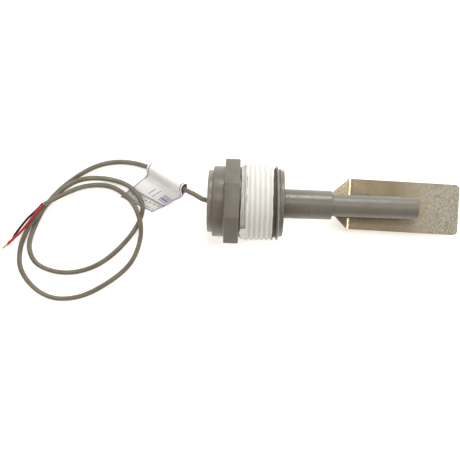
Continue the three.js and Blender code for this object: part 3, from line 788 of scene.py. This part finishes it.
def add_thread():
    steps = 240
    angle = np.linspace(0, 2 * math.pi, steps, endpoint=False)[None, :]
    along = np.arange(THREAD_START, THREAD_RUNOUT + 0.01, THREAD_PITCH / 20)[:, None]
    radius = crest_line(along) - THREAD_DEPTH * (1 - thread_height(along, angle))
    front = [(0.0, 13.0), (0.0, 15.3), (0.6, 15.3), (0.65, 15.6), (1.15, 15.2), (THREAD_START - 0.1, 15.12)]
    back = rounded([
        (THREAD_RUNOUT + 0.1, LEAD_IN_RADIUS, 0), (THREAD_END, LEAD_IN_RADIUS, 0.5),
        (THREAD_END, CAVITY_RADIUS, 0.25), (RECESS_FLOOR, CAVITY_RADIUS, 0.3), (RECESS_FLOOR, STEM_BORE, 0.3),
        (THREAD_END, STEM_BORE, 0.25), (THREAD_END, 6.6, 0.15), (THREAD_END - 2, 6.55, 0),
    ])
    along_all = [x for x, _ in front] + list(along[:, 0]) + [x for x, _ in back]
    radius_all = [np.full(steps, r) for _, r in front] + list(radius) + [np.full(steps, r) for _, r in back]
    vertices = np.vstack([
        np.column_stack([np.full(steps, FACE_X + x), r * np.cos(angle[0]), AXIS_Z + r * np.sin(angle[0])])
        for x, r in zip(along_all, radius_all)
    ])
    faces = grid_faces(len(along_all), steps, wrap_columns=True, wrap_rows=True)
    thread = make_object("plug_thread", vertices, faces, PVC)
    face_outwards(thread)
    fit(thread, "switch_body", "plug_plastic", "plug_body")


# ---------------------------------------------------------------------------------------------
# Rear cap, potting, stem and tube


def add_turned_pieces():
    cap_back = CAP_LOW[0] - FACE_X
    lip_front = HUB_BACK - 0.1
    cap_radius = (CAP_HIGH[2] - CAP_LOW[2]) / 2
    # The cap's plastic is the plug's grey painted lighter to stand in for light it lacks: painted light.
    cap = turned("rear_cap_visual", [
        (cap_back, CAP_WELL_RADIUS, 0.3), (cap_back, cap_radius, 0.45),
        (lip_front, cap_radius, 0.1), (lip_front, SPIGOT_RADIUS, 0),
        (HUB_BACK + CAP_SPIGOT, SPIGOT_RADIUS, 0), (HUB_BACK + CAP_SPIGOT, CAP_WELL_RADIUS, 0),
    ], CAP_PVC_PAINTED_LIGHT, closed=True)
    fit(cap, "switch_body", "cap_plastic", "rear_cap")

    surface = POTTING_LOW[0] - FACE_X
    well = CAP_WELL_RADIUS - 0.05
    potting = turned("potting_fill_visual", [
        (surface + 0.75, 0.0, 0), (surface + 0.7, 1.0, 0.3), (surface + 0.45, 5.0, 2.0),
        (surface, well, 0.3), (HUB_BACK + CAP_SPIGOT + 0.3, well, 0),
        (HUB_BACK + CAP_SPIGOT + 0.3, SPIGOT_RADIUS, 0),
        (POTTING_FRONT, SPIGOT_RADIUS, 0), (POTTING_FRONT, 0.0, 0),
    ], EPOXY, steps=96)
    fit(potting, "switch_body", "epoxy", "potting_fill")

    stem_start = STEM_LOW[0] - FACE_X
    stem_end = STEM_HIGH[0] - FACE_X
    stem = turned("stem_sleeve_visual", [
        (stem_start, 5.0, 0), (stem_start, STEM_SLEEVE_RADIUS, 0.2), (THREAD_END, STEM_SLEEVE_RADIUS, 0),
        (THREAD_END + 0.35, 6.32, 0), (THREAD_END + 0.7, STEM_SLEEVE_RADIUS, 0.2),
        (stem_end, 6.3, 0.35), (stem_end, 4.95, 0.15),
    ], PVC, closed=True)
    cut_slot(stem)
    fit(stem, "switch_body", "plug_plastic", "stem_sleeve")

    tube_end = TUBE_HIGH[0] - FACE_X
    tube = turned("reed_tube_visual", [
        (stem_start, REED_TUBE_BORE, 0), (stem_start, REED_TUBE_RADIUS, 0.2),
        (tube_end, REED_TUBE_RADIUS, 1.0), (tube_end, 0.0, 0),
        (tube_end - 2, 0.0, 0), (tube_end - 2, REED_TUBE_BORE, 0.4),
    ], TUBE_PVC, closed=True)
    fit(tube, "switch_body", "tube_plastic", "reed_tube")


def cut_slot(stem):
    """The slot under the stem's end that holds the leaf's tongue."""
    low, high = corner_mm("leaf_tongue")
    low, high = low - (0.2, 0.2, 0.25), high + (2.0, 0.2, 0.25)
    corners = [(x, y, z) for x in (low[0], high[0]) for y in (low[1], high[1]) for z in (low[2], high[2])]
    faces = [(0, 1, 3, 2), (4, 6, 7, 5), (0, 4, 5, 1), (2, 3, 7, 6), (0, 2, 6, 4), (1, 5, 7, 3)]
    cutter = make_object("slot_cutter", corners, faces, PVC, smooth=False)
    modifier = stem.modifiers.new("slot", "BOOLEAN")
    modifier.operation = "DIFFERENCE"
    modifier.solver = "EXACT"
    modifier.object = cutter
    bpy.context.view_layer.update()
    cut = bpy.data.meshes.new_from_object(stem.evaluated_get(bpy.context.evaluated_depsgraph_get()))
    stem.modifiers.clear()
    stem.data = cut
    bpy.data.objects.remove(cutter)


# ---------------------------------------------------------------------------------------------
# Paddle

LEAF_THICKNESS = 0.25
PLATE_DROP = 4.6
SLOPE = math.radians(29)
BEND_RADIUS = 4.5
LEAF_LENGTH = 58.2
PLATE_WIDTH = 22.9
PLATE_CORNER = 2.2
PADDLE_YAW = math.radians(-1.22)
ROOT_WIDTH = 8.4
FLARE_END = 8.0
TONGUE_LENGTH = 6.0
TONGUE_WIDTH = 4.0


def leaf_station(u):
    """Height and slope of the leaf's middle at u mm along it from the hinge."""
    slope_run = (PLATE_DROP - BEND_RADIUS * (1 - math.cos(SLOPE))) / math.tan(SLOPE)
    bend_start = slope_run
    bend_end = slope_run + BEND_RADIUS * math.sin(SLOPE)
    if u <= 0:
        return 0.0, 0.0
    if u < bend_start:
        return -u * math.tan(SLOPE), -SLOPE
    if u < bend_end:
        turn = math.asin((u - bend_end) / BEND_RADIUS)
        return -PLATE_DROP + BEND_RADIUS * (1 - math.cos(turn)), turn
    return -PLATE_DROP, 0.0


def leaf_edges(u):
    """The leaf's two side edges at u, in the paddle's own frame."""
    offset = HINGE[1]
    if u < -0.4:
        return -TONGUE_WIDTH / 2 - offset, TONGUE_WIDTH / 2 - offset
    if u < FLARE_END:
        share = max(u, 0) / FLARE_END
        half = ROOT_WIDTH / 2 + (PLATE_WIDTH - ROOT_WIDTH) / 2 * share
        return -half, half
    half = PLATE_WIDTH / 2
    past = u - (LEAF_LENGTH - PLATE_CORNER)
    if past > 0:
        half -= PLATE_CORNER - math.sqrt(max(0.0, PLATE_CORNER ** 2 - past ** 2))
    return -half, half


def add_leaf():
    stations = list(np.linspace(-TONGUE_LENGTH, -0.45, 8)) + list(np.linspace(-0.35, FLARE_END, 44))
    stations += list(np.linspace(FLARE_END + 0.5, LEAF_LENGTH - PLATE_CORNER, 60))
    corner_turns = np.linspace(0.12, math.pi / 2 - 0.01, 12)
    stations += [LEAF_LENGTH - PLATE_CORNER * (1 - math.sin(t)) for t in corner_turns]
    columns = 49
    middle, normal = [], []
    c, s = math.cos(PADDLE_YAW), math.sin(PADDLE_YAW)
    for u in stations:
        height, turn = leaf_station(u)
        low, high = leaf_edges(u)
        v = np.linspace(low, high, columns)
        x, y = HINGE[0] + c * u - s * v, HINGE[1] + s * u + c * v
        middle.append(np.column_stack([x, y, np.full(columns, HINGE[2] + height)]))
        up = np.array((-math.sin(turn) * c, -math.sin(turn) * s, math.cos(turn)))
        normal.append(np.repeat(up[None], columns, axis=0))
    middle, normal = np.array(middle), np.array(normal)
    leaf = closed_sheet("paddle_leaf_visual", middle, normal, LEAF_THICKNESS, LEAF)
    face_outwards(leaf)
    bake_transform(leaf)
    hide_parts("paddle_leaf", "leaf_tongue")


def turned_upright(name, outline, centre, material, steps=96):
    """A closed solid of revolution about a vertical line through centre, from (height, radius, rounding)."""
    points = np.array(rounded(outline), float)
    angle = np.linspace(0, 2 * math.pi, steps, endpoint=False)
    height, radius = points[:, 0][:, None], points[:, 1][:, None]
    vertices = np.stack([
        centre[0] + radius * np.cos(angle), centre[1] + radius * np.sin(angle),
        np.repeat(height, steps, axis=1),
    ], axis=2).reshape(-1, 3)
    piece = make_object(name, vertices, grid_faces(len(points), steps, wrap_columns=True), material)
    face_outwards(piece)
    return piece


def add_capsule():
    centre = (CAPSULE_LOW + CAPSULE_HIGH) / 2
    radius = (CAPSULE_HIGH[0] - CAPSULE_LOW[0]) / 2
    foot, top = CAPSULE_LOW[2] - 0.3, CAPSULE_HIGH[2]
    capsule = turned_upright("magnet_capsule_visual", [
        (top - 0.8, 0.0, 0), (top - 0.8, radius - 0.8, 0.2), (foot, radius - 0.8, 0), (foot, radius, 0.1),
        (top, radius, 0.7), (top, 1.4, 0.1), (top - 0.15, 1.2, 0.1), (top - 0.15, 0.0, 0),
    ], centre, TUBE_PVC)
    fit(capsule, "paddle", "tube_plastic", "magnet_capsule")
    head_top = RIVET_LOW[2] + 0.9
    rivet = turned_upright("magnet_rivet_visual", [
        (RIVET_LOW[2], 0.0, 0), (RIVET_LOW[2] + 0.05, 1.0, 0.4),
        (RIVET_LOW[2] + 0.45, 1.8, 0.3), (head_top, 1.8, 0.1),
        (head_top, 0.9, 0), (RIVET_HIGH[2], 0.9, 0), (RIVET_HIGH[2], 0.0, 0),
    ], centre, BRIGHT)
    fit(rivet, "paddle", "bright_metal", "magnet_rivet")


# ---------------------------------------------------------------------------------------------
# Thread tape

# The loose tail: degrees round the axis from +Y over the top, and mm along it.
TAIL_ANGLES = (133, 158)
TAIL_CORNER = 141
TAIL_EDGE = 0.35
TAIL_SLANT = 4.2
TAIL_JOIN = 3.5
TAIL_LIFT = 0.5
STRIP_TURN = 6


def tape_radius(along, angle):
    """Tape bridges the grooves and follows the crests, and its windings end in small steps."""
    sag = 0.52 * THREAD_DEPTH * (1 - thread_height(along, angle)) ** 1.5
    winding = (along - 2.0) / 3.1 - angle / (2 * math.pi)
    step = 0.05 * (winding - np.floor(winding))
    wrinkle = 0.03 * np.sin(angle * 9 + along * 2.7) * np.sin(angle * 4 - along * 1.3)
    return crest_line(along) - sag + 0.14 + step + wrinkle


def add_tape_band(name, start, end, material, thickness, nodes=()):
    steps = 240
    angle = np.linspace(0, 2 * math.pi, steps, endpoint=False)[None, :]
    along = np.arange(start, end + 0.01, 0.11)[:, None]
    edge = 0.12 * np.sin(angle * 3 + 1.0) + 0.07 * np.sin(angle * 11) + 0.04 * np.sin(angle * 23 + 2)
    share = (along - start) / (end - start)
    shifted = along + edge * (share - 0.5) * 2 * (np.abs(share - 0.5) * 2) ** 4
    outside = tape_radius(shifted, angle)
    inside = outside - thickness
    rows = [(shifted[i], outside[i]) for i in range(len(along))]
    rows += [(shifted[i], inside[i]) for i in reversed(range(len(along)))]
    vertices = np.vstack([
        np.column_stack([FACE_X + x, r * np.cos(angle[0]), AXIS_Z + r * np.sin(angle[0])]) for x, r in rows
    ])
    faces = grid_faces(len(rows), steps, wrap_columns=True, wrap_rows=True)
    band = make_object(name, vertices, faces, material)
    face_outwards(band)
    return fit(band, "switch_body", "thread_tape", *nodes)


def around_axis(along, radius, angle):
    """Points at the given distances along the plug's axis, radii and angles, as one grid."""
    along, radius, angle = np.broadcast_arrays(along, radius, angle)
    return np.stack([FACE_X + along, radius * np.cos(angle), AXIS_Z + radius * np.sin(angle)], axis=2)


def add_tape_tail():
    """The tape's loose end: a crumpled flap with a slanting torn edge, standing off the first turn."""
    angle = np.radians(np.linspace(*TAIL_ANGLES, 40))[:, None]
    corner = np.radians(TAIL_CORNER)
    torn = 0.06 * np.sin(angle * 90) + 0.04 * np.sin(angle * 211)
    edge = TAIL_EDGE + TAIL_SLANT * np.abs(angle - corner) + torn
    share = np.linspace(0, 1, 30)[None, :]
    along = edge + share * (TAIL_JOIN - edge)
    lift = TAIL_LIFT * (1 - share) ** 1.3
    crumple = 0.10 * np.sin(angle * 47 + share * 5) + 0.06 * np.sin(angle * 83 - share * 11)
    middle = around_axis(along, crest_line(along) + 0.22 + lift + crumple * (1 - share), angle)
    tail = closed_sheet("tape_tail_visual", middle, grid_normal(middle), 0.07, TAPE)
    face_outwards(tail)
    fit(tail, "switch_body", "thread_tape", "tape_tail")


def add_crest_strip():
    """A narrow shred of tape left on the front flank of the last bare crest, following its helix."""
    angle = np.radians(np.linspace(-10, 190, 160))[:, None]
    share = np.linspace(0, 1, 14)[None, :]
    crest = FIRST_CREST + THREAD_PITCH * (STRIP_TURN + angle / (2 * math.pi))
    ragged = 0.08 * np.sin(angle * 13) + 0.05 * np.sin(angle * 31 + 1)
    along = crest + 0.25 + share * (0.42 + ragged)
    radius = crest_line(along) - THREAD_DEPTH * (1 - thread_height(along, angle)) + 0.08
    middle = around_axis(along, radius, angle)
    strip = closed_sheet("crest_strip_visual", middle, grid_normal(middle), 0.06, SHRED)
    face_outwards(strip)
    fit(strip, "switch_body", "thread_tape")


def add_tape():
    add_tape_band("thread_tape_visual", 3.1, 14.4, TAPE, 0.1, ("thread_tape",))
    add_tape_band("first_turn_tape", 0.75, 3.25, THIN_TAPE, 0.05)
    add_tape_tail()
    add_crest_strip()


# ---------------------------------------------------------------------------------------------
# Inside: CAD solids that stay, with better materials


def epoxy():
    paint = Paint("epoxy", 0.22, Specular_IOR_Level=0.5)
    cloud = paint.spread(paint.noise(3.0, 4), 0.3, 0.7)
    paint.colour(paint.mix(cloud, (0.022, 0.020, 0.018), (0.045, 0.041, 0.037)))
    paint.rough(paint.spread(cloud, 0, 1, 0.16, 0.34))
    paint.bump(paint.noise(1.6, 3), 0.05)
    return paint.material


def reed_glass():
    paint = Paint("reed_glass", 0.05, Transmission_Weight=0.85, IOR=1.5)
    tint = paint.spread(paint.noise(1.5, 2), 0.3, 0.7)
    paint.colour(paint.mix(tint, (0.62, 0.78, 0.66), (0.80, 0.90, 0.82)))
    return paint.material


EPOXY = epoxy()


def paint_inner_nodes():
    looks = {
        "reed_glass": reed_glass(), "reed_blade_rear": BRIGHT, "reed_blade_front": BRIGHT,
        "solder_sleeve_rear": SLEEVE, "solder_sleeve_front": SLEEVE, "inner_lead_red": RED,
        "inner_lead_black": BLACK, "paddle_magnet": MAGNET,
    }
    for node, look in looks.items():
        mesh = frame["nodes"][node].data
        mesh.materials.clear()
        mesh.materials.append(look)


# ---------------------------------------------------------------------------------------------
# Floor and light


def add_stage():
    half = 900.0
    paint = Paint("floor", 0.9, Emission_Color=(1, 0.95, 0.88, 1), Emission_Strength=0.45)
    paint.colour(paint.mix(paint.noise(60.0, 2), (0.93, 0.93, 0.93), (0.96, 0.96, 0.96)))
    corners = [(-half, -half, 0), (half, -half, 0), (half, half, 0), (-half, half, 0)]
    floor = make_object("floor", corners, [(0, 1, 2, 3)], paint.material, smooth=False)


def add_light(name, place, size, share, colour=(1.0, 1.0, 1.0)):
    """A soft disk aimed at the origin, whose power lights the floor there by a share of white."""
    place = Vector(place)
    data = bpy.data.lights.new(name, "AREA")
    data.shape = "DISK"
    data.size = size
    data.color = colour
    data.energy = share * math.pi ** 2 * place.length ** 3 / place.z
    lamp = bpy.data.objects.new(name, data)
    lamp.location = place
    lamp.rotation_euler = (-place).to_track_quat("-Z", "Y").to_euler()
    bpy.context.scene.collection.objects.link(lamp)


def add_lighting():
    add_light("key", (0.10, 0.85, 0.50), 0.26, 0.27, (0.97, 1.0, 0.93))
    add_light("overhead", (-0.02, 0.24, 0.95), 0.14, 0.15)
    add_light("left", (-0.62, 0.35, 0.62), 0.40, 0.08)
    add_light("side", (0.88, 0.26, 0.42), 0.30, 0.09)
    add_light("bend", (0.50, 0.06, 0.75), 0.13, 0.14)
    add_light("fill", (-0.45, -0.65, 0.60), 0.80, 0.08, (1.0, 0.86, 0.70))
    world = bpy.data.worlds.new("studio")
    world.use_nodes = True
    world.node_tree.nodes["Background"].inputs["Color"].default_value = (1.0, 0.985, 0.96, 1)
    world.node_tree.nodes["Background"].inputs["Strength"].default_value = 0.42
    bpy.context.scene.world = world
    bpy.context.scene.view_settings.view_transform = "Standard"


add_camera()
add_cord()
add_head()
add_thread()
add_turned_pieces()
add_leaf()
add_capsule()
add_tape()
paint_inner_nodes()
add_stage()
add_lighting()
